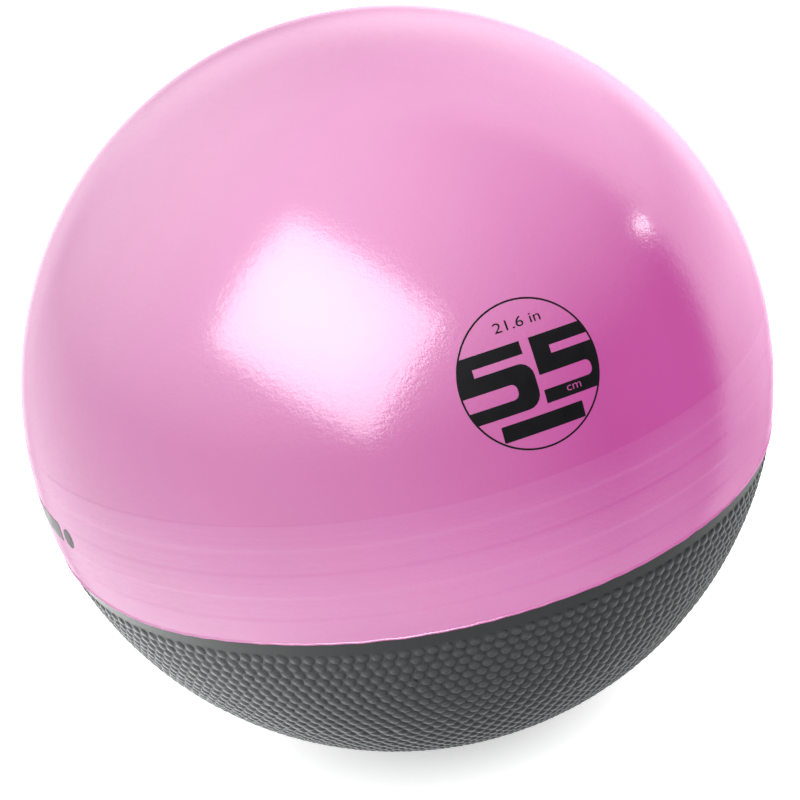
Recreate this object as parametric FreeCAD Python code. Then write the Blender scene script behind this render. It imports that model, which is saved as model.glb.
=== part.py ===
import FreeCAD, Part
import math
import os

# Inflatable stability ball with a heavy studded base.
#
# Millimetres. The origin is the middle of the flat patch that the ball rests on, +Z runs up
# the ball's axis, and the air valve faces +Y. A place on the ball is given by its latitude,
# measured from the ball's centre: 0 is the equator and -90 is the middle of the base.

# ---- Driving dimensions ----
BALL_DIAMETER = 550.0        # over the raised rings, at the ball's nominal pressure
RING_HEIGHT = 0.4            # how far a raised ring stands out of the upper skin
SKIN_THICKNESS = 1.0         # upper skin between its rings
UPPER_EDGE_LATITUDE = -12.9  # where the upper skin ends and the base shows

RING_TOP_LATITUDE = 6.2      # upper edge of the highest raised ring
RING_PITCH_DEGREES = 3.65    # height of one ring, or of one gap between two
RING_EDGE_COUNT = 5          # edges from the highest ring down to the last raised band

LAP_TOP_LATITUDE = -9.0      # how far the base reaches up behind the upper skin
RIM_BOTTOM_LATITUDE = -15.3  # the smooth rim ends here and the studs begin
STUD_HEIGHT = 1.3            # stud tops above the smooth rim
BASE_RISE = 7.0              # the stiff base stretches less, so its round is set this much higher
RIM_THICKNESS = 1.8          # base at its rim
FOOT_THICKNESS = 5.0         # base over the patch that it rests on
FOOT_RADIUS = 40.0           # flat patch on the floor
FOOT_BEND_RADIUS = 120.0     # bend from that patch into the round of the ball

VALVE_LATITUDE = 28.0
VALVE_HOLE_RADIUS = 13.0     # hole in the upper skin
SEAT_FLANGE_RADIUS = 19.0    # welded to the inside of the upper skin
SEAT_FLANGE_DEPTH = 1.6
SEAT_TUBE_RADIUS = 7.0
SEAT_LENGTH = 17.0           # from the ball's surface to the tube's inner end
BORE_RADIUS = 4.0
RECESS_RADIUS = 9.8          # for the plug's head
RECESS_DEPTH = 2.3

PLUG_HEAD_RADIUS = 9.3
PLUG_HEAD_THICKNESS = 2.4
PLUG_STEM_RADIUS = 3.2
PLUG_STEM_LENGTH = 19.0
PLUG_RIB_COUNT = 4
PLUG_RIB_PITCH = 3.6
PLUG_RIB_WIDTH = 1.5
RUNNING_CLEARANCE = 0.05     # between a rib and the bore
HEAD_CLEARANCE = 0.1         # under the plug's head

# ---- Dimensions worked out from those ----
RING_RADIUS = BALL_DIAMETER / 2
SKIN_RADIUS = RING_RADIUS - RING_HEIGHT
INNER_RADIUS = SKIN_RADIUS - SKIN_THICKNESS
RIM_RADIUS = INNER_RADIUS

# The stud tops lie on a sphere about a point BASE_RISE above the ball's centre. It starts at
# the rim, STUD_HEIGHT proud of it.
RIM_ANGLE = math.radians(RIM_BOTTOM_LATITUDE)
FIRST_STUD_REACH = (RIM_RADIUS + STUD_HEIGHT) * math.cos(RIM_ANGLE)
FIRST_STUD_DROP = BASE_RISE - (RIM_RADIUS + STUD_HEIGHT) * math.sin(RIM_ANGLE)
BASE_RADIUS = math.hypot(FIRST_STUD_REACH, FIRST_STUD_DROP)

# The foot's bend is tangent to the floor and, from the inside, to that sphere.
BEND_CENTRE_DISTANCE = BASE_RADIUS - FOOT_BEND_RADIUS
BASE_CENTRE_HEIGHT = FOOT_BEND_RADIUS + math.sqrt(BEND_CENTRE_DISTANCE ** 2 - FOOT_RADIUS ** 2)
CENTRE_HEIGHT = BASE_CENTRE_HEIGHT - BASE_RISE
FIRST_STUD_LATITUDE = -math.degrees(math.asin(FIRST_STUD_DROP / BASE_RADIUS))
BEND_TOP_LATITUDE = -math.degrees(math.acos(FOOT_RADIUS / BEND_CENTRE_DISTANCE))

# The inside of the base is a sphere set higher still, so that the base is thickest below.
EXTRA_RISE = (FOOT_THICKNESS - RIM_THICKNESS - STUD_HEIGHT) / (1 + math.sin(RIM_ANGLE))
INSIDE_RADIUS = BASE_RADIUS - FOOT_THICKNESS + EXTRA_RISE

# Shapes that are cut away reach this far past what they cut.
OVERSHOOT = 5.0


# ---- Outlines in the XZ plane ----
def on_ball(radius, latitude, rise=0.0):
    """Point at a distance and latitude from the ball's centre, or from a point above it."""
    angle = math.radians(latitude)
    return FreeCAD.Vector(
        radius * math.cos(angle), 0, CENTRE_HEIGHT + rise + radius * math.sin(angle))


def meridian(radius, start, end, rise=0.0):
    """Arc from one latitude to another, about the ball's centre or a point above it."""
    corners = [on_ball(radius, latitude, rise) for latitude in (start, (start + end) / 2, end)]
    return Part.Arc(*corners).toShape()


def joined_edges(pieces):
    """The pieces in order, with a straight edge wherever two of them don't meet."""
    edges = []
    for piece in pieces:
        start = piece.firstVertex(True).Point
        if edges:
            last = edges[-1].lastVertex(True).Point
            if last.distanceToPoint(start) > 1e-7:
                edges.append(Part.makeLine(last, start))
        edges.append(piece)
    first = edges[0].firstVertex(True).Point
    last = edges[-1].lastVertex(True).Point
    if last.distanceToPoint(first) > 1e-7:
        edges.append(Part.makeLine(last, first))
    return edges


def turned(edges):
    """Solid of revolution about +Z of a closed outline."""
    face = Part.Face(Part.Wire(edges))
    return face.revolve(FreeCAD.Vector(0, 0, 0), FreeCAD.Vector(0, 0, 1), 360)


def turned_polygon(corners):
    """Solid of revolution about +Z of a polygon given as (radius, height) corners."""
    points = [FreeCAD.Vector(radius, 0, height) for radius, height in corners]
    return turned(Part.makePolygon(points + points[:1]).Edges)


def ball(radius, rise=0.0):
    """Whole sphere about the ball's centre, or about a point above it."""
    return Part.makeSphere(radius, FreeCAD.Vector(0, 0, CENTRE_HEIGHT + rise))


def valve_placement():
    """From the valve's own frame, with +Z out of the ball, to its place on the ball."""
    tilt = FreeCAD.Rotation(FreeCAD.Vector(1, 0, 0), VALVE_LATITUDE - 90)
    outward = tilt.multVec(FreeCAD.Vector(0, 0, 1))
    centre = FreeCAD.Vector(0, 0, CENTRE_HEIGHT)
    return FreeCAD.Placement(centre + outward * SKIN_RADIUS, tilt)


def at_valve(shape):
    """The shape moved from the valve's own frame to its place on the ball."""
    moved = shape.copy()
    moved.Placement = valve_placement()
    return moved


# ---- Pieces ----
def upper_shell():
    """Soft upper skin, with shallow raised rings above its lower edge and a valve hole."""
    edges = [RING_TOP_LATITUDE - RING_PITCH_DEGREES * index for index in range(RING_EDGE_COUNT)]
    bounds = [90.0] + edges + [UPPER_EDGE_LATITUDE]
    pieces = []
    for index in range(len(bounds) - 1):
        radius = RING_RADIUS if index % 2 else SKIN_RADIUS
        pieces.append(meridian(radius, bounds[index], bounds[index + 1]))
    pieces.append(meridian(INNER_RADIUS, UPPER_EDGE_LATITUDE, 90.0))
    hole = at_valve(Part.makeCylinder(
        VALVE_HOLE_RADIUS, 2 * OVERSHOOT, FreeCAD.Vector(0, 0, -OVERSHOOT)))
    return turned(joined_edges(pieces)).cut(hole)


def foot_outline():
    """Bend and flat patch under the base, from the stud tops' sphere to the axis."""
    angle = math.radians((BEND_TOP_LATITUDE - 90) / 2)
    middle = FreeCAD.Vector(
        FOOT_RADIUS + FOOT_BEND_RADIUS * math.cos(angle),
        0,
        FOOT_BEND_RADIUS + FOOT_BEND_RADIUS * math.sin(angle))
    edge = FreeCAD.Vector(FOOT_RADIUS, 0, 0)
    top = on_ball(BASE_RADIUS, BEND_TOP_LATITUDE, BASE_RISE)
    bend = Part.Arc(top, middle, edge).toShape()
    patch = Part.makeLine(edge, FreeCAD.Vector(0, 0, 0))
    return [bend, patch]


def base_shell():
    """Heavy base, its outside at the stud tops, with a lap that the upper skin covers."""
    outline = [
        meridian(RIM_RADIUS, LAP_TOP_LATITUDE, RIM_BOTTOM_LATITUDE),
        meridian(BASE_RADIUS, FIRST_STUD_LATITUDE, BEND_TOP_LATITUDE, BASE_RISE),
    ]
    outline += foot_outline()
    lap_level = on_ball(RIM_RADIUS, LAP_TOP_LATITUDE)
    outline.append(Part.makeLine(FreeCAD.Vector(0, 0, 0), FreeCAD.Vector(0, 0, lap_level.z)))
    hollow = ball(INSIDE_RADIUS, BASE_RISE + EXTRA_RISE)
    above_foot = Part.makeCylinder(
        RING_RADIUS + OVERSHOOT, BALL_DIAMETER, FreeCAD.Vector(0, 0, FOOT_THICKNESS))
    return turned(joined_edges(outline)).cut(hollow.common(above_foot))


def valve_seat():
    """Insert in the skin's hole: a flush face, a flange behind the skin and a tube inwards."""
    skin_depth = SKIN_THICKNESS + SEAT_FLANGE_DEPTH
    flange_edge_drop = SEAT_FLANGE_RADIUS ** 2 / (2 * INNER_RADIUS)
    flange_depth = skin_depth + flange_edge_drop
    boss = turned_polygon([
        (0, OVERSHOOT),
        (VALVE_HOLE_RADIUS, OVERSHOOT),
        (VALVE_HOLE_RADIUS, -flange_depth),
        (SEAT_TUBE_RADIUS, -flange_depth - (VALVE_HOLE_RADIUS - SEAT_TUBE_RADIUS) / 2),
        (SEAT_TUBE_RADIUS, -SEAT_LENGTH),
        (0, -SEAT_LENGTH),
    ])
    flange = turned_polygon([
        (0, OVERSHOOT),
        (SEAT_FLANGE_RADIUS, OVERSHOOT),
        (SEAT_FLANGE_RADIUS, -flange_depth),
        (0, -flange_depth),
    ])
    recess = turned_polygon([
        (0, OVERSHOOT),
        (RECESS_RADIUS, OVERSHOOT),
        (RECESS_RADIUS, -RECESS_DEPTH),
        (BORE_RADIUS, -RECESS_DEPTH),
        (BORE_RADIUS, -SEAT_LENGTH - OVERSHOOT),
        (0, -SEAT_LENGTH - OVERSHOOT),
    ])
    seat = at_valve(boss).common(ball(SKIN_RADIUS))
    seat = seat.fuse(at_valve(flange).common(ball(INNER_RADIUS)))
    return seat.cut(at_valve(recess)).removeSplitter()


def air_plug():
    """Push-in stopper: a round head with a soft edge, and a ribbed stem with a tapered tip."""
    under_head = HEAD_CLEARANCE - RECESS_DEPTH
    top = under_head + PLUG_HEAD_THICKNESS
    edge = PLUG_HEAD_THICKNESS / 4
    rib_radius = BORE_RADIUS - RUNNING_CLEARANCE
    chamfer = (PLUG_RIB_WIDTH - 0.5) / 2
    tip = under_head - PLUG_STEM_LENGTH
    corners = [
        (0, top),
        (PLUG_HEAD_RADIUS - 2 * edge, top),
        (PLUG_HEAD_RADIUS, top - edge),
        (PLUG_HEAD_RADIUS, under_head + edge),
        (PLUG_HEAD_RADIUS - edge, under_head),
        (PLUG_STEM_RADIUS, under_head),
    ]
    for index in range(PLUG_RIB_COUNT):
        rib_top = under_head - PLUG_RIB_PITCH * (index + 0.6)
        corners += [
            (PLUG_STEM_RADIUS, rib_top),
            (rib_radius, rib_top - chamfer),
            (rib_radius, rib_top - PLUG_RIB_WIDTH + chamfer),
            (PLUG_STEM_RADIUS, rib_top - PLUG_RIB_WIDTH),
        ]
    corners += [
        (PLUG_STEM_RADIUS, tip + PLUG_STEM_RADIUS / 2),
        (PLUG_STEM_RADIUS / 2, tip),
        (0, tip),
    ]
    return at_valve(turned_polygon(corners))


PARTS = {
    "upper_shell": upper_shell,
    "base_shell": base_shell,
    "valve_seat": valve_seat,
    "air_plug": air_plug,
}


def main():
    os.makedirs("parts", exist_ok=True)
    for node, make in PARTS.items():
        shape = make()
        box = shape.BoundBox
        print(f"{node}: valid {shape.isValid()}, solids {len(shape.Solids)}, "
              f"volume {shape.Volume / 1000:.1f} cm3, "
              f"x {box.XMin:.2f} to {box.XMax:.2f}, y {box.YMin:.2f} to {box.YMax:.2f}, "
              f"z {box.ZMin:.2f} to {box.ZMax:.2f}")
        shape.exportStep(f"parts/{node}.step")


main()
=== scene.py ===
import math
import random

import bpy
import numpy as np
from mathutils import Matrix, Vector
from mathutils.geometry import delaunay_2d_cdt


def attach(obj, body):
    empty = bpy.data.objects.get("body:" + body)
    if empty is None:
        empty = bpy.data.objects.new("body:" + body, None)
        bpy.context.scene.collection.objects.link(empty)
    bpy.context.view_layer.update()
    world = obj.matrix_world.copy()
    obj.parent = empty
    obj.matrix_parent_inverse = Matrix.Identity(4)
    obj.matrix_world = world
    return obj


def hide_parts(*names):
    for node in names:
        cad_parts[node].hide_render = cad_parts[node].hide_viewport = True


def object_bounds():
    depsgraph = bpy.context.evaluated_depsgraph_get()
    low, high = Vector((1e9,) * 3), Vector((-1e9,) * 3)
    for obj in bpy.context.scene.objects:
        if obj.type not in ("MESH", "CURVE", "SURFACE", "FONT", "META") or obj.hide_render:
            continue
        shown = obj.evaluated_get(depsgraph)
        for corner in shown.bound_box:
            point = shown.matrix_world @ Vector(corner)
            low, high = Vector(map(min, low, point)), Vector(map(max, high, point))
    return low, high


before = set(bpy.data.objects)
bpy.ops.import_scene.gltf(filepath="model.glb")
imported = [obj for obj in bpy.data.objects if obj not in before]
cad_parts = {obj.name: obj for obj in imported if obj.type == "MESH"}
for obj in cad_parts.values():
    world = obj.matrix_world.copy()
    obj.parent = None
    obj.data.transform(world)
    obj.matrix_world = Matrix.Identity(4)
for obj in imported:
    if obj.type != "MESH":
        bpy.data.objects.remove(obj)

CAD_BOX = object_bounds()

# Metres and degrees. The ball's axis is +Z, the floor is z = 0, longitude 0 faces -Y and
# longitude 90 faces +X. Latitudes are measured from the ball's centre.

# ---- Sizes that repeat the CAD model's ----
RING_RADIUS = 0.275
RING_HEIGHT = 0.0004
SKIN_RADIUS = RING_RADIUS - RING_HEIGHT
SKIN_INNER_RADIUS = SKIN_RADIUS - 0.001
SKIN_EDGE_LATITUDE = -12.9
RING_TOP_LATITUDE = 6.2
RING_PITCH = 3.65
RING_EDGES = 5
LAP_TOP_LATITUDE = -9.0
RIM_BOTTOM_LATITUDE = -15.3
RIM_THICKNESS = 0.0018
STUD_HEIGHT = 0.0013
BASE_RISE = 0.007
FOOT_RADIUS = 0.040
FOOT_BEND_RADIUS = 0.120
FOOT_THICKNESS = 0.005
VALVE_LATITUDE = 28.0
VALVE_LONGITUDE = 180.0
VALVE_HOLE_RADIUS = 0.013
CENTRE = Vector((0, 0, CAD_BOX[1].z - SKIN_RADIUS))

# ---- Sizes of what only the visual model has ----
AROUND = 384                   # points in a full ring of the skin and of the base's rim
TOP_STEP_HALF_WIDTH = 0.20     # degrees, edge of the highest ring
STEP_HALF_WIDTH = 0.30         # degrees, the softer edges below it
DOME_SWELL = 0.0002            # the dome bulges by this towards the highest ring
GAP_RADIUS = RING_RADIUS - 0.0002
BEAD_RADIUS = 0.0008           # rolled bead along the skin's lower edge
STUD_PITCH = 0.0093            # along a row
STUD_ROW_PITCH = 0.0080        # between rows
STUD_FOOT_RADIUS = 0.0043
STUD_SHOULDER_RADIUS = 0.0029
STUD_SIDES = 8
FOOT_DISC_RADIUS = 0.014       # smooth disc in the middle of the base
PRINT_PROUD = 0.0001           # ink above the skin
PRINT_SUNK = 0.00006           # ink's underside, just under the skin's surface
PRINT_GRID = 0.004             # longest flat stretch of ink, as the skin under it is round
STUD_SLIP_DOWN = 0.0002        # how far a stud may sit off its place, across and along its row
STUD_SLIP_EAST = 0.0003
ROW_SLIP = 0.0012              # how far a row of studs may be turned, along the widest ring
MM = 0.001                     # the valve's outlines are in millimetres

# ---- Printed marks ----
BADGE_LATITUDE = 20.1
BADGE_LONGITUDE = 18.7
BADGE_RADIUS = 0.0482
BADGE_LINE = 0.0012
SIDE_MARK_LATITUDE = -2.95
SIDE_MARK_END_LONGITUDE = -61.0

# ---- Camera and gloss ----
# The distance is assumed, and the elevation was fitted to the product picture for it. Distances
# of 3 to 30 ball radii fit as well, each with its own elevation. The roll is the same for all.
CAMERA_DISTANCE = 6 * RING_RADIUS
CAMERA_ELEVATION = math.radians(23.52)
CAMERA_ROLL = math.radians(10.96)
AIM_RIGHT = 0.0020             # the picture's middle, from the ball's centre
AIM_DOWN = 0.0138
# The skin's coat is full down to the first cosine of the angle it is seen at, then fades to
# GLOSS_AT_EDGE at the second, so that bright walls don't burn the ball's edge out.
GLOSS_FULL = 0.62
GLOSS_LEAST = 0.15
GLOSS_AT_EDGE = 0.2


# ---- Mesh helpers ----
def direction(latitude, longitude):
    """Unit vector from the ball's centre."""
    lat, lon = math.radians(latitude), math.radians(longitude)
    return Vector((math.cos(lat) * math.sin(lon), -math.cos(lat) * math.cos(lon), math.sin(lat)))


def add_mesh(name, vertices, faces, sharp_angle=50):
    """A smooth-shaded mesh object, with edges sharper than sharp_angle left crisp."""
    mesh = bpy.data.meshes.new(name)
    mesh.from_pydata([tuple(v) for v in vertices], [], faces)
    mesh.validate()
    mesh.shade_smooth()
    mesh.set_sharp_from_angle(angle=math.radians(sharp_angle))
    piece = bpy.data.objects.new(name, mesh)
    bpy.context.scene.collection.objects.link(piece)
    return piece


def evaluated_mesh(piece):
    """A plain mesh of a piece with its modifiers or its curve worked out."""
    bpy.context.view_layer.update()
    graph = bpy.context.evaluated_depsgraph_get()
    return bpy.data.meshes.new_from_object(piece.evaluated_get(graph))


def smooth_step(low, high, x):
    """0 where x is at low or before it, 1 at high or after it, with a smooth rise between."""
    t = np.clip((x - low) / (high - low), 0, 1)
    return t * t * (3 - 2 * t)


def wave_noise(longitudes, seed, lowest, highest, count):
    """Smooth noise round a ring, about -1 to 1: sine waves of whole numbers of periods."""
    draw = random.Random(seed)
    total = np.zeros_like(longitudes)
    for _ in range(count):
        periods = draw.randint(lowest, highest)
        total += math.sqrt(2 / count) * np.sin(periods * longitudes + draw.uniform(0, math.tau))
    return total


def wrapped(angle):
    """The angle as a value from -pi to pi."""
    return (angle + math.pi) % math.tau - math.pi


def unrolled(chain, near):
    """The closed chain with its first point again at the end, longitudes always rising."""
    index, longitude = chain[0]
    longitude = near + wrapped(longitude - near)
    made = [(index, longitude)]
    for index, next_longitude in chain[1:] + chain[:1]:
        longitude += (next_longitude - longitude) % math.tau
        made.append((index, longitude))
    return made


class Surface:
    """Collects vertices and faces of a mesh that is built ring by ring round the Z axis."""

    def __init__(self):
        self.vertices = []
        self.faces = []

    def ring(self, radii, heights, longitudes):
        """A ring of points; returns [(index, longitude), ...]."""
        first = len(self.vertices)
        count = len(longitudes)
        radii = np.broadcast_to(radii, count)
        heights = np.broadcast_to(heights, count)
        for r, z, lon in zip(radii, heights, longitudes):
            self.vertices.append((r * math.sin(lon), -r * math.cos(lon), z))
        return [(first + i, longitudes[i]) for i in range(count)]

    def band(self, upper, lower):
        """Quads between two rings of the same count; they face outwards where upper is higher."""
        count = len(upper)
        for i in range(count):
            j = (i + 1) % count
            self.faces.append((upper[i][0], lower[i][0], lower[j][0], upper[j][0]))

    def cap(self, ring, height, upwards):
        """A fan from a ring to a point on the axis."""
        self.vertices.append((0, 0, height))
        tip = len(self.vertices) - 1
        count = len(ring)
        for i in range(count):
            a, b = ring[i][0], ring[(i + 1) % count][0]
            self.faces.append((a, b, tip) if upwards else (b, a, tip))

    def stitch(self, upper, lower):
        """Triangles between two closed chains in order of longitude, of any two counts."""
        start = min(range(len(lower)), key=lambda k: abs(wrapped(lower[k][1] - upper[0][1])))
        lower = unrolled(lower[start:] + lower[:start], upper[0][1])
        upper = unrolled(upper, upper[0][1])
        i = j = 0
        while i < len(upper) - 1 or j < len(lower) - 1:
            step_upper = j == len(lower) - 1 or (
                i < len(upper) - 1 and upper[i + 1][1] <= lower[j + 1][1])
            if step_upper:
                self.faces.append((upper[i][0], lower[j][0], upper[i + 1][0]))
                i += 1
            else:
                self.faces.append((upper[i][0], lower[j][0], lower[j + 1][0]))
                j += 1


# ---- Upper skin ----
def dome_radius(latitude):
    """Radius of the dome above the rings, which bulges a little towards them."""
    return SKIN_RADIUS + DOME_SWELL * float(smooth_step(26.0, RING_TOP_LATITUDE, latitude))


def skin_outline():
    """(radius, latitude) points of the skin's outside, from near the top to its bead."""
    points = [(dome_radius(latitude), latitude)
              for latitude in np.arange(88.5, RING_TOP_LATITUDE + 1, -1.5)]
    for index in range(RING_EDGES):
        edge = RING_TOP_LATITUDE - RING_PITCH * index
        half_step = STEP_HALF_WIDTH if index else TOP_STEP_HALF_WIDTH
        gap = GAP_RADIUS if index else dome_radius(edge)
        above, below = (RING_RADIUS, gap) if index % 2 else (gap, RING_RADIUS)
        for offset, share in ((1.6, 0), (1, 0.03), (0.4, 0.25), (-0.4, 0.75), (-1, 0.97), (-1.6, 1)):
            points.append((above + (below - above) * share, edge + half_step * offset))
        next_edge = edge - RING_PITCH if index < RING_EDGES - 1 else SKIN_EDGE_LATITUDE
        for share in (0.3, 0.5, 0.7):
            points.append((below, edge + (next_edge - edge) * share))
    return points


def bead_outline():
    """(radius, latitude) points round the bead on the skin's lower edge and up its inside."""
    def along(length):
        return math.degrees(length / RING_RADIUS)

    middle_radius = RING_RADIUS - 0.1 * BEAD_RADIUS
    middle_latitude = SKIN_EDGE_LATITUDE + along(BEAD_RADIUS)
    points = [(RING_RADIUS, middle_latitude + along(1.7 * BEAD_RADIUS))]
    points.append((RING_RADIUS + 0.05 * BEAD_RADIUS, middle_latitude + along(1.12 * BEAD_RADIUS)))
    for turn in range(20, 201, 20):
        angle = math.radians(turn)
        points.append((
            middle_radius + BEAD_RADIUS * math.sin(angle),
            middle_latitude + along(BEAD_RADIUS * math.cos(angle))))
    points.append((SKIN_INNER_RADIUS + 0.0002, SKIN_EDGE_LATITUDE + along(0.0001)))
    points += [(SKIN_INNER_RADIUS, latitude) for latitude in (-12.7, *np.arange(-10.0, 89.0, 4.5))]
    return points


def build_skin():
    """The skin as one closed sheet. Its lower edge wavers a little, as a welded edge does."""
    longitudes = np.linspace(0, math.tau, AROUND, endpoint=False)
    waver = 0.07 * wave_noise(longitudes, 5, 3, 14, 6) + 0.035 * wave_noise(longitudes, 6, 40, 110, 9)
    surface = Surface()
    rings = []
    for radius, latitude in skin_outline() + bead_outline():
        near_edge = 1 - float(smooth_step(SKIN_EDGE_LATITUDE + 0.3, -10.5, latitude))
        lat = np.radians(latitude + waver * near_edge)
        rings.append(surface.ring(radius * np.cos(lat), CENTRE.z + radius * np.sin(lat), longitudes))
    for upper, lower in zip(rings, rings[1:]):
        surface.band(upper, lower)
    surface.cap(rings[0], CENTRE.z + SKIN_RADIUS, True)
    surface.cap(rings[-1], CENTRE.z + SKIN_INNER_RADIUS, False)
    skin = add_mesh("upper_skin", surface.vertices, surface.faces, 70)
    cut_valve_hole(skin)
    return skin


def valve_matrix():
    """From the valve's own frame, +Z out of the ball, to its place on the ball."""
    outward = direction(VALVE_LATITUDE, VALVE_LONGITUDE)
    turn = Vector((0, 0, 1)).rotation_difference(outward).to_matrix().to_4x4()
    return Matrix.Translation(CENTRE + outward * SKIN_RADIUS) @ turn


def cut_valve_hole(skin):
    """Cuts the round hole that the valve seat fills."""
    half_depth = 0.005
    surface = Surface()
    longitudes = np.linspace(0, math.tau, 96, endpoint=False)
    upper = surface.ring(VALVE_HOLE_RADIUS, half_depth, longitudes)
    lower = surface.ring(VALVE_HOLE_RADIUS, -half_depth, longitudes)
    surface.band(upper, lower)
    surface.cap(upper, half_depth, True)
    surface.cap(lower, -half_depth, False)
    cutter = add_mesh("cutter", surface.vertices, surface.faces)
    cutter.matrix_world = valve_matrix()
    cut = skin.modifiers.new("valve_hole", "BOOLEAN")
    cut.operation = "DIFFERENCE"
    cut.solver = "EXACT"
    cut.object = cutter
    mesh = evaluated_mesh(skin)
    skin.modifiers.clear()
    skin.data = mesh
    mesh.shade_smooth()
    mesh.set_sharp_from_angle(angle=math.radians(70))
    bpy.data.objects.remove(cutter)


# ---- Studded base ----
class BaseProfile:
    """Outline of the stud tops: round, then a bend, then flat on the floor."""

    def __init__(self):
        rim_angle = math.radians(RIM_BOTTOM_LATITUDE)
        first_stud = SKIN_INNER_RADIUS + STUD_HEIGHT
        reach = first_stud * math.cos(rim_angle)
        drop = BASE_RISE - first_stud * math.sin(rim_angle)
        self.radius = math.hypot(reach, drop)
        self.centre = CENTRE.z + BASE_RISE
        self.start = math.asin(drop / self.radius)
        self.bend = math.acos(FOOT_RADIUS / (self.radius - FOOT_BEND_RADIUS))
        self.round_length = self.radius * (self.bend - self.start)
        self.bend_length = FOOT_BEND_RADIUS * (math.pi / 2 - self.bend)
        self.length = self.round_length + self.bend_length + FOOT_RADIUS

    def at(self, distance, depth):
        """(radius, height) at a distance down from the rim and a depth under the stud tops."""
        if distance < self.round_length:
            below = self.start + distance / self.radius
            r = self.radius - depth
            return r * math.cos(below), self.centre - r * math.sin(below)
        if distance < self.round_length + self.bend_length:
            below = self.bend + (distance - self.round_length) / FOOT_BEND_RADIUS
            r = FOOT_BEND_RADIUS - depth
            return FOOT_RADIUS + r * math.cos(below), FOOT_BEND_RADIUS - r * math.sin(below)
        return max(self.length - distance, 0.0), depth


def add_stud(surface, profile, distance, longitude, draw):
    """One round stud; returns the upper and lower halves of its foot, from west to east."""
    row_radius = profile.at(distance, 0)[0]
    height = STUD_HEIGHT * draw.uniform(0.9, 1.0)
    size = draw.uniform(0.92, 1.06)
    twist = draw.uniform(-0.12, 0.12)
    down = distance + draw.uniform(-1, 1) * STUD_SLIP_DOWN
    east = longitude + draw.uniform(-1, 1) * STUD_SLIP_EAST / row_radius

    def point(radius, angle, depth):
        r, z = profile.at(down - radius * math.sin(angle), depth)
        lon = east + radius * math.cos(angle) / row_radius
        surface.vertices.append((r * math.sin(lon), -r * math.cos(lon), z))
        return len(surface.vertices) - 1, lon

    top = point(0, 0, STUD_HEIGHT - height)[0]
    turns = [math.tau * k / STUD_SIDES for k in range(STUD_SIDES)]
    shoulder_depth = STUD_HEIGHT - height * 0.76
    shoulder = [point(STUD_SHOULDER_RADIUS * size, turn + twist, shoulder_depth) for turn in turns]
    foot = [point(STUD_FOOT_RADIUS, turn, STUD_HEIGHT) for turn in turns]
    for k in range(STUD_SIDES):
        n = (k + 1) % STUD_SIDES
        surface.faces.append((top, shoulder[k][0], shoulder[n][0]))
        surface.faces.append((shoulder[k][0], foot[k][0], foot[n][0], shoulder[n][0]))
    half = STUD_SIDES // 2
    upper = foot[half::-1]
    lower = foot[half:] + foot[:1]
    return upper, lower


def build_base():
    """Rim, rows of studs and a smooth disc outside; lap, wall and flat foot inside."""
    profile = BaseProfile()
    draw = random.Random(21)
    surface = Surface()
    longitudes = np.linspace(0, math.tau, AROUND, endpoint=False)

    def round_ring(radius, latitude):
        lat = math.radians(latitude)
        return surface.ring(radius * math.cos(lat), CENTRE.z + radius * math.sin(lat), longitudes)

    rim = SKIN_INNER_RADIUS - 0.0001
    rings = [round_ring(rim, latitude) for latitude in (
        LAP_TOP_LATITUDE, -11.0, -12.6, -13.4, -14.2, -14.9, RIM_BOTTOM_LATITUDE)]
    for upper, lower in zip(rings, rings[1:]):
        surface.band(upper, lower)

    chain = rings[-1]
    distance = STUD_FOOT_RADIUS + 0.0002
    row = 0
    while distance < profile.length - FOOT_DISC_RADIUS - STUD_ROW_PITCH / 2:
        count = round(math.tau * profile.at(distance, 0)[0] / STUD_PITCH)
        phase = (row % 2) * math.pi / count + draw.uniform(-1, 1) * ROW_SLIP / RING_RADIUS
        upper, lower = [], []
        for k in range(count):
            longitude = phase + math.tau * k / count
            stud_upper, stud_lower = add_stud(surface, profile, distance, longitude, draw)
            upper += stud_upper
            lower += stud_lower
        surface.stitch(chain, upper)
        chain = lower
        distance += STUD_ROW_PITCH
        row += 1

    disc_turns = np.linspace(0, math.tau, 48, endpoint=False)
    disc_height = 0.0004
    disc = surface.ring(FOOT_DISC_RADIUS, STUD_HEIGHT, disc_turns)
    disc_top = surface.ring(FOOT_DISC_RADIUS - 0.001, disc_height, disc_turns)
    surface.stitch(chain, disc)
    surface.band(disc, disc_top)
    surface.cap(disc_top, disc_height, False)

    # Inside: over the lap's rounded top edge and down the wall, which thickens to the foot.
    inner = [rings[0]]
    for depth, latitude in ((RIM_THICKNESS / 2, LAP_TOP_LATITUDE + 0.1), (RIM_THICKNESS, LAP_TOP_LATITUDE)):
        inner.append(round_ring(rim - depth, latitude))
    for latitude in (-10.5, -12.0, -13.5, -15.0):
        inner.append(round_ring(rim - RIM_THICKNESS, latitude))
    for share in np.linspace(0.05, 0.97, 24):
        thickness = RIM_THICKNESS + (FOOT_THICKNESS - STUD_HEIGHT - RIM_THICKNESS) * share
        r, z = profile.at(profile.length * share, STUD_HEIGHT + thickness)
        inner.append(surface.ring(r, z, longitudes))
    for outer_ring, inner_ring in zip(inner, inner[1:]):
        surface.band(inner_ring, outer_ring)
    surface.cap(inner[-1], FOOT_THICKNESS, True)
    base = add_mesh("studded_base", surface.vertices, surface.faces, 80)
    store_relief(base, profile)
    return base


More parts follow.
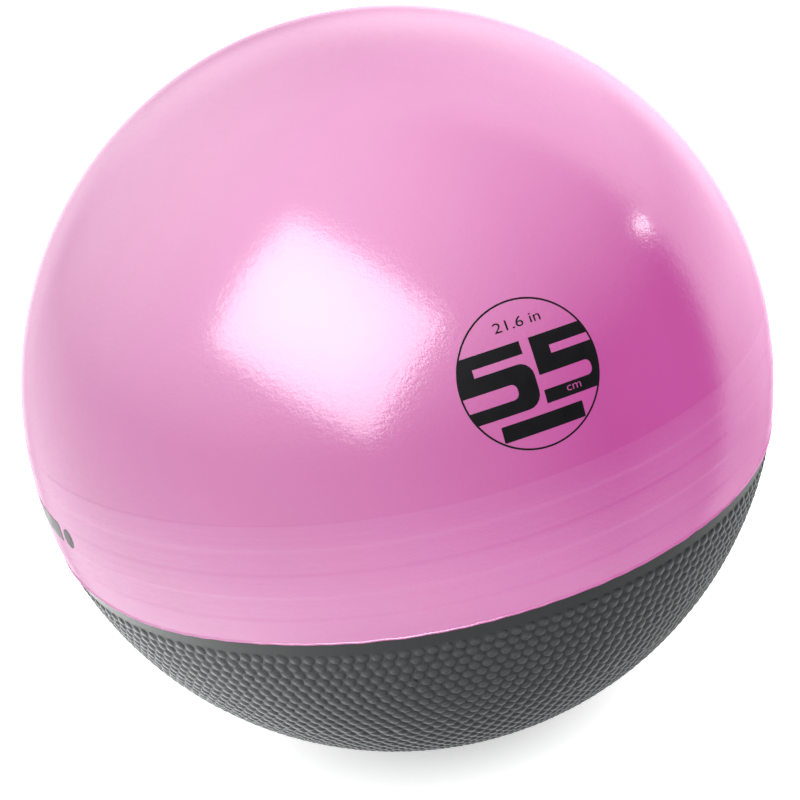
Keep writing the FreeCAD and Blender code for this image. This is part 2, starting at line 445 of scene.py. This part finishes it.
def store_relief(base, profile):
    """Per-point attribute for the material's painted shade and light: 0 between the studs and on the rim, 1
    on a stud's top.
    """
    points = np.array([v.co for v in base.data.vertices])
    reach = np.hypot(points[:, 0], points[:, 1])
    depth = profile.radius - np.hypot(reach, points[:, 2] - profile.centre)
    bend = FOOT_BEND_RADIUS - np.hypot(reach - FOOT_RADIUS, points[:, 2] - FOOT_BEND_RADIUS)
    below = np.arctan2(profile.centre - points[:, 2], reach)
    depth = np.where(below > profile.bend, bend, depth)
    depth = np.where(reach < FOOT_RADIUS, points[:, 2], depth)
    relief = np.clip(1 - depth / STUD_HEIGHT, 0, 1)
    attribute = base.data.attributes.new("relief", "FLOAT", "POINT")
    attribute.data.foreach_set("value", relief.astype(np.float32))


# ---- Valve ----
def turned_piece(name, outline, steps=72, sharp_angle=40):
    """A piece turned about the valve's axis from a (radius, height) outline.

    The outline runs with its material on the left. It is closed, or starts and ends on the axis.
    """
    surface = Surface()
    longitudes = np.linspace(0, math.tau, steps, endpoint=False)
    rings = [surface.ring(r, z, longitudes) for r, z in outline if r > 0]
    for lower, upper in zip(rings, rings[1:]):
        surface.band(upper, lower)
    if outline[0][0] > 0:
        surface.band(rings[0], rings[-1])
    else:
        surface.cap(rings[0], outline[0][1], False)
        surface.cap(rings[-1], outline[-1][1], True)
    place = valve_matrix()
    vertices = [place @ Vector(v) for v in surface.vertices]
    return add_mesh(name, vertices, surface.faces, sharp_angle)


def rounded_outline(corners):
    """(x, y) points of an outline whose corners are (x, y, fillet radius)."""
    made = []
    count = len(corners)
    for k, (x, y, radius) in enumerate(corners):
        here = Vector((x, y))
        if radius == 0:
            made.append((x, y))
            continue
        before = (Vector(corners[k - 1][:2]) - here).normalized()
        after = (Vector(corners[(k + 1) % count][:2]) - here).normalized()
        half = before.angle(after) / 2
        middle = here + (before + after).normalized() * radius / math.sin(half)
        first = here + before * radius / math.tan(half) - middle
        last = here + after * radius / math.tan(half) - middle
        sweep = wrapped(math.atan2(last.y, last.x) - math.atan2(first.y, first.x))
        start = math.atan2(first.y, first.x)
        steps = max(2, round(abs(sweep) / math.radians(18)))
        for step in range(steps + 1):
            angle = start + sweep * step / steps
            made.append((middle.x + radius * math.cos(angle), middle.y + radius * math.sin(angle)))
    return made


def build_valve_seat():
    """Flush seat: a soft weld bead at the skin's edge, a recess for the plug and a tube inwards."""
    corners = [
        (4.0, -17, 0.4), (7.0, -17, 0.4), (7.0, -6.2, 0.8), (13.0, -3.26, 0),
        (19.0, -3.26, 0.5), (19.0, -1.72, 0.3), (13.0, -1.34, 0), (13.0, -0.33, 0),
        (13.2, -0.30, 0), (13.05, 0.02, 0.15), (12.2, 0.04, 0.2), (11.9, -0.25, 0.2),
        (10.3, -0.22, 0.3), (9.8, -0.7, 0.2), (9.8, -2.3, 0.3), (4.6, -2.3, 0.3), (4.0, -2.9, 0.2)]
    outline = rounded_outline([(r * MM, z * MM, fillet * MM) for r, z, fillet in corners])
    return turned_piece("valve_seat_moulding", outline)


def build_air_plug():
    """Push-in stopper: a rounded head with a shallow dish, and a ribbed stem with a tapered tip."""
    head_under, head_top, stem, rib, tip = -2.2, 0.2, 3.2, 3.9, -21.2
    corners = [(0, tip, 0), (1.6, tip, 0.6), (stem, tip + 1.8, 0.6)]
    for index in reversed(range(4)):
        rib_top = head_under - 3.6 * (index + 0.6)
        corners += [
            (stem, rib_top - 1.5, 0.1), (rib, rib_top - 1.1, 0.2),
            (rib, rib_top - 0.5, 0.2), (stem, rib_top, 0.1)]
    corners += [
        (stem, head_under, 0.3), (9.3, head_under, 0.6), (9.3, head_top, 0.9),
        (6.9, head_top, 0.4), (6.1, head_top - 1.0, 0.4), (0, head_top - 1.2, 0)]
    outline = rounded_outline([(r * MM, z * MM, fillet * MM) for r, z, fillet in corners])
    return turned_piece("air_plug_moulding", outline)


# ---- Printed marks ----
def circle_loop(radius, count=96):
    """Points of a circle round the middle of its mark."""
    return [(radius * math.cos(math.tau * k / count), radius * math.sin(math.tau * k / count))
            for k in range(count)]


def bar_loop(left, bottom, right, top, fillet):
    """Points of a bar with rounded corners."""
    return rounded_outline([
        (left, bottom, fillet), (right, bottom, fillet), (right, top, fillet), (left, top, fillet)])


def five_loop(left, bottom, width, height):
    """A plain, wide and heavy figure 5."""
    foot, arm_low, arm_high, head = 0.20 * height, 0.43 * height, 0.68 * height, 0.805 * height
    post = 0.24 * width
    outer, inner = 0.19 * width, 0.08 * width
    bowl = 0.73 * width
    corners = [
        (0, 0, 0), (width, 0, outer), (width, arm_high, outer), (post, arm_high, 0),
        (post, head, 0), (width * 0.93, head, 0), (width * 0.93, height, 0),
        (0, height, 0), (0, arm_low, 0), (bowl, arm_low, inner),
        (bowl, foot, inner), (0, foot, 0)]
    return [(left + x, bottom + y) for x, y in rounded_outline(corners)]


def text_loops(text, left, bottom, width, height):
    """Closed outlines of a text in Blender's own font, stretched to fill a box."""
    curve = bpy.data.curves.new("letters", "FONT")
    curve.body = text
    curve.fill_mode = "NONE"
    curve.resolution_u = 3
    curve.offset = 0.055
    letters = bpy.data.objects.new("letters", curve)
    bpy.context.scene.collection.objects.link(letters)
    mesh = evaluated_mesh(letters)
    bpy.data.objects.remove(letters)
    flat = np.array([vertex.co[:2] for vertex in mesh.vertices])
    flat = (flat - flat.min(axis=0)) / np.ptp(flat, axis=0) * (width, height) + (left, bottom)
    neighbours = {}
    for a, b in (edge.vertices for edge in mesh.edges):
        neighbours.setdefault(a, []).append(b)
        neighbours.setdefault(b, []).append(a)
    loops = []
    left_over = set(neighbours)
    while left_over:
        start = min(left_over)
        chain, before, here = [], None, start
        while here in left_over:
            left_over.remove(here)
            chain.append(tuple(float(value) for value in flat[here]))
            onward = [n for n in neighbours[here] if n != before]
            before, here = here, onward[0]
        loops.append(chain)
    return loops


def stepped_loop(loop):
    """The closed loop with points added along its long edges."""
    made = []
    for (x0, y0), (x1, y1) in zip(loop, loop[1:] + loop[:1]):
        steps = max(1, math.ceil(math.hypot(x1 - x0, y1 - y0) / PRINT_GRID))
        made += [(x0 + (x1 - x0) * k / steps, y0 + (y1 - y0) * k / steps) for k in range(steps)]
    return made


def filled_loops(loops, border):
    """(points, faces) of the area between nested loops and inside the border loop."""
    points, edges = [], []
    for loop in [stepped_loop(loop) for loop in [*loops, border]]:
        first = len(points)
        points += [Vector(p) for p in loop]
        edges += [(first + k, first + (k + 1) % len(loop)) for k in range(len(loop))]
    low = [min(p[axis] for p in points) for axis in (0, 1)]
    high = [max(p[axis] for p in points) for axis in (0, 1)]
    for x in np.arange(low[0] + PRINT_GRID / 2, high[0], PRINT_GRID):
        for y in np.arange(low[1] + PRINT_GRID / 2, high[1], PRINT_GRID):
            points.append(Vector((float(x), float(y))))
    flat, _, triangles, _, _, _ = delaunay_2d_cdt(points, edges, [], 0, 1e-7)
    faces = []
    for triangle in triangles:
        middle = sum((flat[v] for v in triangle), Vector((0, 0))) / 3
        if in_ink(middle, loops) and in_ink(middle, [border]):
            faces.append(triangle)
    used = sorted({v for face in faces for v in face})
    place = {v: k for k, v in enumerate(used)}
    return [flat[v] for v in used], [[place[v] for v in face] for face in faces]


def in_ink(point, loops):
    """Whether an odd number of the nested loops go round the point."""
    inside = False
    for loop in loops:
        for (x0, y0), (x1, y1) in zip(loop, loop[1:] + loop[:1]):
            if (y0 > point.y) != (y1 > point.y):
                if point.x < x0 + (x1 - x0) * (point.y - y0) / (y1 - y0):
                    inside = not inside
    return inside


def on_badge(x, y, height):
    """Point of the badge's own (east, north) plane, wrapped onto the ball."""
    out = direction(BADGE_LATITUDE, BADGE_LONGITUDE)
    east = Vector((0, 0, 1)).cross(out).normalized()
    north = out.cross(east)
    distance = math.hypot(x, y)
    if distance > 0:
        angle = distance / SKIN_RADIUS
        out = out * math.cos(angle) + (east * x + north * y) * (math.sin(angle) / distance)
    return CENTRE + out * (dome_radius(math.degrees(math.asin(out.z))) + height)


def on_side_mark(x, y, height):
    """Point of the side mark's (east, north) plane, wrapped along a raised ring."""
    latitude = SIDE_MARK_LATITUDE + math.degrees(y / RING_RADIUS)
    longitude = SIDE_MARK_END_LONGITUDE + math.degrees(
        x / (RING_RADIUS * math.cos(math.radians(SIDE_MARK_LATITUDE))))
    return CENTRE + direction(latitude, longitude) * (RING_RADIUS + height)


def build_print(name, loops, border, place):
    """Printed area as a thin closed solid on the skin."""
    flat, faces = filled_loops(loops, border)
    count = len(flat)
    vertices = [place(p.x, p.y, PRINT_PROUD) for p in flat]
    vertices += [place(p.x, p.y, -PRINT_SUNK) for p in flat]
    solid = [tuple(face) for face in faces]
    solid += [tuple(count + v for v in reversed(face)) for face in faces]
    sides = {}
    for face in faces:
        for a, b in zip(face, face[1:] + face[:1]):
            if (b, a) in sides:
                del sides[b, a]
            else:
                sides[a, b] = True
    solid += [(b, a, count + a, count + b) for a, b in sides]
    return add_mesh(name, vertices, solid, 40)


def build_prints():
    """The size mark on the front, and a plain bar and dot on the left, from the ball's own size."""
    digit_width, digit_height, digit_bottom = 0.0500, 0.0430, -0.0213
    left_five = five_loop(0.0021 - digit_width, digit_bottom, digit_width, digit_height)
    right_five = five_loop(0.0052, digit_bottom, digit_width, digit_height)
    unit = text_loops("cm", 0.0205, digit_bottom + 0.0030, 0.0105, 0.0036)
    inches = text_loops("21.6 in", -0.0146, 0.0300, 0.0325, 0.0066)
    badge = circle_loop(BADGE_RADIUS)
    inside_badge = circle_loop(BADGE_RADIUS - BADGE_LINE)
    bar = bar_loop(-0.0285, -0.0372, 0.0285, -0.0267, 0.0008)
    side_bar = bar_loop(-0.110, -0.0074, -0.020, 0.0074, 0.003)
    side_dot = bar_loop(-0.0145, -0.0074, 0.0, 0.0074, 0.0072)
    side_area = bar_loop(-0.12, -0.01, 0.01, 0.01, 0)
    return [
        build_print("print_size_number", [left_five, right_five, *unit], inside_badge, on_badge),
        build_print("print_badge_ring", [badge, inside_badge], circle_loop(BADGE_RADIUS * 1.1), on_badge),
        build_print("print_badge_inches", inches, inside_badge, on_badge),
        build_print("print_badge_bar", [bar], inside_badge, on_badge),
        build_print("print_side_mark", [side_bar, side_dot], side_area, on_side_mark),
    ]


# ---- Materials ----
class NodeSteps:
    """Small named steps that build up a node tree."""

    def __init__(self, tree):
        self.nodes, self.links = tree.nodes, tree.links

    def put(self, value, socket):
        """Sets a number on a socket, or links a node's output to it."""
        if isinstance(value, (int, float)):
            socket.default_value = value
        else:
            self.links.new(value, socket)

    def spread(self, source, low, high, at_low, at_high):
        """The source's range low to high, as values from at_low to at_high."""
        node = self.nodes.new("ShaderNodeMapRange")
        for name, value in (("From Min", low), ("From Max", high), ("To Min", at_low), ("To Max", at_high)):
            node.inputs[name].default_value = value
        self.links.new(source, node.inputs["Value"])
        return node.outputs["Result"]

    def combine(self, operation, *terms):
        """The result of a maths node for numbers or node outputs."""
        node = self.nodes.new("ShaderNodeMath")
        node.operation = operation
        for socket, term in zip(node.inputs, terms):
            self.put(term, socket)
        return node.outputs["Value"]


class MaterialNodes(NodeSteps):
    """A procedural material on one Principled shader."""

    def __init__(self, name):
        self.material = bpy.data.materials.new(name)
        self.material.use_nodes = True
        super().__init__(self.material.node_tree)
        self.shader = self.nodes["Principled BSDF"]
        self.place = self.nodes.new("ShaderNodeTexCoord").outputs["Object"]

    def noise(self, scale, detail=2.0, roughness=0.5):
        """Cloudy noise; the scale is in periods per metre."""
        node = self.nodes.new("ShaderNodeTexNoise")
        node.inputs["Scale"].default_value = scale
        node.inputs["Detail"].default_value = detail
        node.inputs["Roughness"].default_value = roughness
        self.links.new(self.place, node.inputs["Vector"])
        return node.outputs["Fac"]

    def streaks(self, length, width):
        """Noise drawn out round the ball's axis, as in a spun or stretched sheet."""
        node = self.nodes.new("ShaderNodeVectorMath")
        node.operation = "MULTIPLY"
        node.inputs[1].default_value = (1 / length, 1 / length, 1 / width)
        self.links.new(self.place, node.inputs[0])
        noise = self.nodes.new("ShaderNodeTexNoise")
        noise.inputs["Scale"].default_value = 1.0
        noise.inputs["Detail"].default_value = 2.0
        self.links.new(node.outputs["Vector"], noise.inputs["Vector"])
        return noise.outputs["Fac"]

    def height(self):
        """The point's height over the floor."""
        node = self.nodes.new("ShaderNodeSeparateXYZ")
        self.links.new(self.place, node.inputs["Vector"])
        return node.outputs["Z"]

    def attribute(self, name):
        """A value that the mesh carries at each of its points."""
        node = self.nodes.new("ShaderNodeAttribute")
        node.attribute_name = name
        return node.outputs["Fac"]

    def blend(self, share, first, second):
        """Colour between two colours or colour sockets."""
        node = self.nodes.new("ShaderNodeMix")
        node.data_type = "RGBA"
        self.links.new(share, node.inputs["Factor"])
        for socket, colour in ((node.inputs[6], first), (node.inputs[7], second)):
            if isinstance(colour, tuple):
                socket.default_value = (*colour, 1)
            else:
                self.links.new(colour, socket)
        return node.outputs[2]

    def bump(self, height, strength, distance, normal=None):
        """Surface direction for a relief of this depth, on top of an earlier one."""
        node = self.nodes.new("ShaderNodeBump")
        self.put(strength, node.inputs["Strength"])
        node.inputs["Distance"].default_value = distance
        self.links.new(height, node.inputs["Height"])
        if normal is not None:
            self.links.new(normal, node.inputs["Normal"])
        return node.outputs["Normal"]

    def connect(self, **sockets):
        """Links node outputs, or sets constants, on the shader's sockets."""
        for name, value in sockets.items():
            self.put(value, self.shader.inputs[name.replace("_", " ")])
        return self.material


def skin_material():
    """Soft, slightly pearly PVC: fine speckled grain under a satin gloss, with a paler colour on the rings
    that is a painted sheen.
    """
    steps = MaterialNodes("pearl_pink_pvc")
    cloud = steps.spread(steps.noise(7.0, 3.0), 0.35, 0.65, 0.0, 1.0)
    dome = steps.blend(cloud, (0.530, 0.082, 0.334), (0.555, 0.092, 0.356))
    # The rings' paler colour is a painted sheen: extra reflection painted into the base colour.
    rings = steps.blend(cloud, (0.548, 0.102, 0.360), (0.572, 0.113, 0.382))
    ring_top = CENTRE.z + RING_RADIUS * math.sin(math.radians(RING_TOP_LATITUDE))
    on_rings = steps.spread(steps.height(), ring_top + 0.0003, ring_top - 0.0003, 0.0, 1.0)
    grain = steps.noise(700.0, 2.0, 0.6)
    peel = steps.noise(240.0, 2.0, 0.5)
    drawn = steps.bump(steps.streaks(0.25, 0.004), steps.spread(on_rings, 0.0, 1.0, 0.1, 0.5), 0.0002)
    normal = steps.bump(grain, 0.5, 0.00014, steps.bump(peel, 0.2, 0.0004, drawn))
    facing = steps.nodes.new("ShaderNodeLayerWeight").outputs["Facing"]
    return steps.connect(
        Base_Color=steps.blend(on_rings, dome, rings),
        Roughness=steps.spread(grain, 0.3, 0.7, 0.32, 0.42),
        Specular_IOR_Level=0.0,
        Normal=normal,
        Coat_Weight=steps.spread(facing, 1 - GLOSS_FULL, 1 - GLOSS_LEAST, 1.0, GLOSS_AT_EDGE),
        Coat_Roughness=0.15,
        Coat_IOR=1.53,
        Coat_Normal=normal)


def base_material():
    """Dense dark rubber-like PVC with a fine satin texture. Its colour is darker between the studs as
    painted shade, and lighter on the stud tops as painted light.
    """
    steps = MaterialNodes("dark_grey_base")
    cloud = steps.spread(steps.noise(9.0, 3.0), 0.3, 0.7, 0.0, 1.0)
    grain = steps.noise(1400.0, 2.0, 0.6)
    # The low colour lies on the rim and between the studs, where it is painted shade; the lighter high
    # colour on the stud tops is painted light.
    low = steps.blend(cloud, (0.008, 0.009, 0.0095), (0.011, 0.0125, 0.013))
    high = steps.blend(cloud, (0.032, 0.036, 0.038), (0.043, 0.048, 0.050))
    relief = steps.attribute("relief")
    return steps.connect(
        Base_Color=steps.blend(relief, low, high),
        Roughness=steps.spread(grain, 0.3, 0.7, 0.38, 0.50),
        Specular_IOR_Level=0.15,
        Normal=steps.bump(grain, 0.35, 0.0001))


def seat_material():
    """The valve seat's own moulding: a shade deeper than the skin, with a fine matt grain."""
    steps = MaterialNodes("deep_pink_valve")
    cloud = steps.noise(60.0, 3.0)
    grain = steps.noise(1600.0, 2.0, 0.6)
    return steps.connect(
        Base_Color=steps.blend(cloud, (0.52, 0.070, 0.320), (0.58, 0.090, 0.360)),
        Roughness=steps.spread(grain, 0.3, 0.7, 0.38, 0.50),
        Specular_IOR_Level=0.3,
        Normal=steps.bump(grain, 0.3, 0.00008))


def plug_material():
    """Off-white polyethylene: waxy, with faint moulding mottle and a little grime in the grain."""
    steps = MaterialNodes("off_white_plug")
    cloud = steps.noise(180.0, 4.0, 0.6)
    grain = steps.noise(2200.0, 2.0, 0.6)
    return steps.connect(
        Base_Color=steps.blend(cloud, (0.60, 0.59, 0.55), (0.72, 0.71, 0.68)),
        Roughness=steps.spread(grain, 0.3, 0.7, 0.40, 0.55),
        Specular_IOR_Level=0.4,
        Subsurface_Weight=0.1,
        Subsurface_Scale=0.002,
        Normal=steps.bump(grain, 0.25, 0.00006))


def ink_material():
    """Black screen-printing ink: satin, faintly uneven, with the skin's grain showing through."""
    steps = MaterialNodes("black_ink")
    cloud = steps.noise(120.0, 4.0, 0.6)
    grain = steps.noise(800.0, 2.0, 0.6)
    normal = steps.bump(grain, 0.4, 0.00012)
    return steps.connect(
        Base_Color=steps.blend(cloud, (0.005, 0.005, 0.006), (0.009, 0.009, 0.010)),
        Roughness=steps.spread(cloud, 0.3, 0.7, 0.34, 0.46),
        Specular_IOR_Level=0.03,
        Normal=normal)


# ---- Stage ----
def build_floor():
    """Pale floor. It also glows a little to the camera, less close to the ball: a painted glow, with a
    painted shadow round the ball.
    """
    size = 6.0
    corners = [(-size, -size, 0), (size, -size, 0), (size, size, 0), (-size, size, 0)]
    floor = add_mesh("floor", corners, [(0, 1, 2, 3)])
    steps = MaterialNodes("pale_floor")
    length = steps.nodes.new("ShaderNodeVectorMath")
    length.operation = "LENGTH"
    steps.links.new(steps.place, length.inputs[0])
    # The glow is dimmer out to shadow_radius and full beyond clear_radius: a painted shadow round the ball.
    shadow_radius, clear_radius = 0.085, 0.18
    glow_with_painted_shadow = steps.spread(length.outputs["Value"], shadow_radius, clear_radius, 0.46, 0.92)
    camera_ray = steps.nodes.new("ShaderNodeLightPath").outputs["Is Camera Ray"]
    steps.shader.inputs["Base Color"].default_value = (0.92, 0.92, 0.92, 1)
    steps.shader.inputs["Emission Color"].default_value = (1, 1, 1, 1)
    floor.data.materials.append(steps.connect(
        Roughness=1.0,
        Specular_IOR_Level=0.0,
        Emission_Strength=steps.combine("MULTIPLY", glow_with_painted_shadow, camera_ray)))
    floor.visible_glossy = False


def area_light(name, shape, offset, long_side, short_side, long_axis, radiance):
    """A lamp that faces the ball's centre, with its long side along long_axis."""
    data = bpy.data.lights.new(name, "AREA")
    data.shape = shape
    data.size = long_side
    data.size_y = short_side
    data.energy = radiance * math.pi * long_side * short_side
    lamp = bpy.data.objects.new(name, data)
    back = Vector(offset).normalized()
    along = Vector(long_axis)
    along = (along - back * along.dot(back)).normalized()
    up = back.cross(along)
    turn = Matrix((along, up, back)).transposed().to_4x4()
    lamp.matrix_world = Matrix.Translation(CENTRE + Vector(offset)) @ turn
    bpy.context.scene.collection.objects.link(lamp)
    lamp.visible_camera = False
    return lamp


def build_lights():
    """Lamps that only show as reflections. The world gives the even light on the ball."""
    place, long_axis = (-0.43, -1.12, 1.02), (0.62, -0.72, -0.32)
    lamps = [
        area_light(name, shape, place, long_side, short_side, long_axis, radiance)
        for name, shape, long_side, short_side, radiance in (
            ("softbox", "RECTANGLE", 1.56, 1.14, 8.8),
            ("softbox_middle", "RECTANGLE", 1.22, 0.84, 7.4),
            ("softbox_lamp", "ELLIPSE", 1.15, 0.75, 10.0))]
    lamps.append(area_light("glint_lamp", "RECTANGLE", (1.57, 0.17, 0.60), 0.035, 0.035, (0, 1, 0), 170.0))
    for lamp in lamps:
        lamp.visible_diffuse = False


class WorldNodes(NodeSteps):
    """The studio's brightness, as a function of the direction looked in."""

    def __init__(self, tree):
        super().__init__(tree)
        self.look = self.nodes.new("ShaderNodeTexCoord").outputs["Generated"]

    def towards(self, aim, low, high, at_low, at_high):
        """From at_low to at_high as the look's share towards aim goes from low to high."""
        dot = self.nodes.new("ShaderNodeVectorMath")
        dot.operation = "DOT_PRODUCT"
        self.links.new(self.look, dot.inputs[0])
        dot.inputs[1].default_value = Vector(aim).normalized()
        return self.spread(dot.outputs["Value"], low, high, at_low, at_high)

    def product(self, *factors):
        """All the factors multiplied."""
        result = factors[0]
        for factor in factors[1:]:
            result = self.combine("MULTIPLY", result, factor)
        return result


def reflected_studio(studio):
    """Brightness of the studio in reflections: walls, ceiling, ground and what is behind."""
    east, north, up, down = (1, 0, 0), (0, 1, 0), (0, 0, 1), (0, 0, -1)

    # Walls, brightest on the left, with a slightly darker belt at eye level.
    walls = studio.towards((0.866, 0.5, 0), -1.0, 0.45, 4.3, 0.0)
    wall_height = studio.combine(
        "MAXIMUM",
        studio.towards(up, 0.05, 0.6, 0.93, 1.0),
        studio.towards(down, 0.1, 0.35, 0.93, 1.0))
    wall_end = studio.towards(down, 0.70, 0.98, 1.0, 0.25)

    # Ceiling, brightest overhead, and the ground in front, darker right under the ball.
    ceiling = studio.towards((-0.05, 0, 1), 0.12, 1.0, 0.0, 5.7)
    ceiling_end = studio.towards(north, 0.15, 0.85, 1.0, 0.79)
    ground = studio.combine(
        "MINIMUM",
        studio.towards(down, 0.28, 0.80, 0.0, 2.3),
        studio.towards(down, 0.80, 0.98, 2.3, 0.0))
    in_front = studio.towards(north, -0.2, 0.6, 1.0, 0.1)

    # A wall straight behind, and a panel behind on the right, which stands above the table.
    back_wall = studio.towards(north, 0.79, 0.96, 0.0, 0.95)
    panel = studio.towards(north, 0.20, 0.32, 0.0, 2.4)
    panel_end = studio.towards(north, 0.45, 0.85, 1.0, 0.70)
    right_side = studio.towards(east, -0.1, 0.5, 0.0, 1.0)
    above_table = studio.towards(up, -0.5, -0.15, 0.3, 1.0)
    panel_top = studio.towards(up, 0.3, 0.75, 1.0, 0.45)

    reflected = studio.combine("ADD", back_wall, studio.product(ceiling, ceiling_end))
    for part in (
            studio.product(walls, wall_height, wall_end),
            studio.product(ground, in_front),
            studio.product(panel, right_side, above_table, panel_top, panel_end)):
        reflected = studio.combine("ADD", reflected, part)

    # What the ball's edge mirrors in the picture lies behind it. It is brighter by what the
    # coat loses there, up to a limit. The cosine is of the angle at which the ball mirrors it.
    picture_side = (0, -math.cos(CAMERA_ELEVATION), math.sin(CAMERA_ELEVATION))
    cosine = studio.combine("POWER", studio.towards(picture_side, -1.0, 1.0, 0.0, 1.0), 0.5)
    coat_loss = studio.spread(cosine, GLOSS_LEAST, 0.66, 0.10, 0.93)
    limit = studio.spread(cosine, 0.08, 0.30, 0.35, 1.0)
    return studio.combine("MULTIPLY", studio.combine("DIVIDE", reflected, coat_loss), limit)


def build_world():
    """White studio: white to the camera, brighter walls in reflections, even light elsewhere."""
    world = bpy.data.worlds.new("studio")
    bpy.context.scene.world = world
    world.use_nodes = True
    world.cycles.sampling_method = "NONE"
    studio = WorldNodes(world.node_tree)
    rays = studio.nodes.new("ShaderNodeLightPath").outputs
    even = studio.towards((1, 0, -0.45), -1.0, 1.0, 0.66, 1.54)
    strength = 1.0
    for ray, brightness in (("Is Glossy Ray", reflected_studio(studio)), ("Is Diffuse Ray", even)):
        change = studio.combine("MULTIPLY", rays[ray], studio.combine("SUBTRACT", brightness, 1.0))
        strength = studio.combine("ADD", strength, change)
    background = studio.nodes["Background"]
    studio.links.new(strength, background.inputs["Strength"])
    background.inputs["Color"].default_value = (1, 1, 1, 1)


def build_camera():
    """The product picture's view, as fitted for the assumed distance."""
    back = Vector((0, -math.cos(CAMERA_ELEVATION), math.sin(CAMERA_ELEVATION)))
    level = Vector((1, 0, 0))
    upright = back.cross(level)
    right = level * math.cos(CAMERA_ROLL) - upright * math.sin(CAMERA_ROLL)
    up = level * math.sin(CAMERA_ROLL) + upright * math.cos(CAMERA_ROLL)
    data = bpy.data.cameras.new("camera")
    data.sensor_width = 36.0
    data.lens = 100.3
    camera = bpy.data.objects.new("camera", data)
    eye = CENTRE + back * CAMERA_DISTANCE
    aim = CENTRE + right * AIM_RIGHT - up * AIM_DOWN
    look = (eye - aim).normalized()
    right = up.cross(look).normalized()
    up = look.cross(right)
    camera.matrix_world = Matrix.Translation(eye) @ Matrix((right, up, look)).transposed().to_4x4()
    bpy.context.scene.collection.objects.link(camera)
    bpy.context.scene.camera = camera


# ---- Build ----
build_camera()
build_world()
build_lights()
build_floor()

skin = build_skin()
skin.data.materials.append(skin_material())
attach(skin, "ball")
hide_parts("upper_shell")

base = build_base()
base.data.materials.append(base_material())
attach(base, "ball")
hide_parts("base_shell")

seat = build_valve_seat()
seat.data.materials.append(seat_material())
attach(seat, "ball")
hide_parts("valve_seat")

plug = build_air_plug()
plug.data.materials.append(plug_material())
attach(plug, "plug")
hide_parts("air_plug")

ink = ink_material()
for mark in build_prints():
    mark.data.materials.append(ink)
    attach(mark, "ball")

bpy.context.scene.view_settings.view_transform = "Standard"
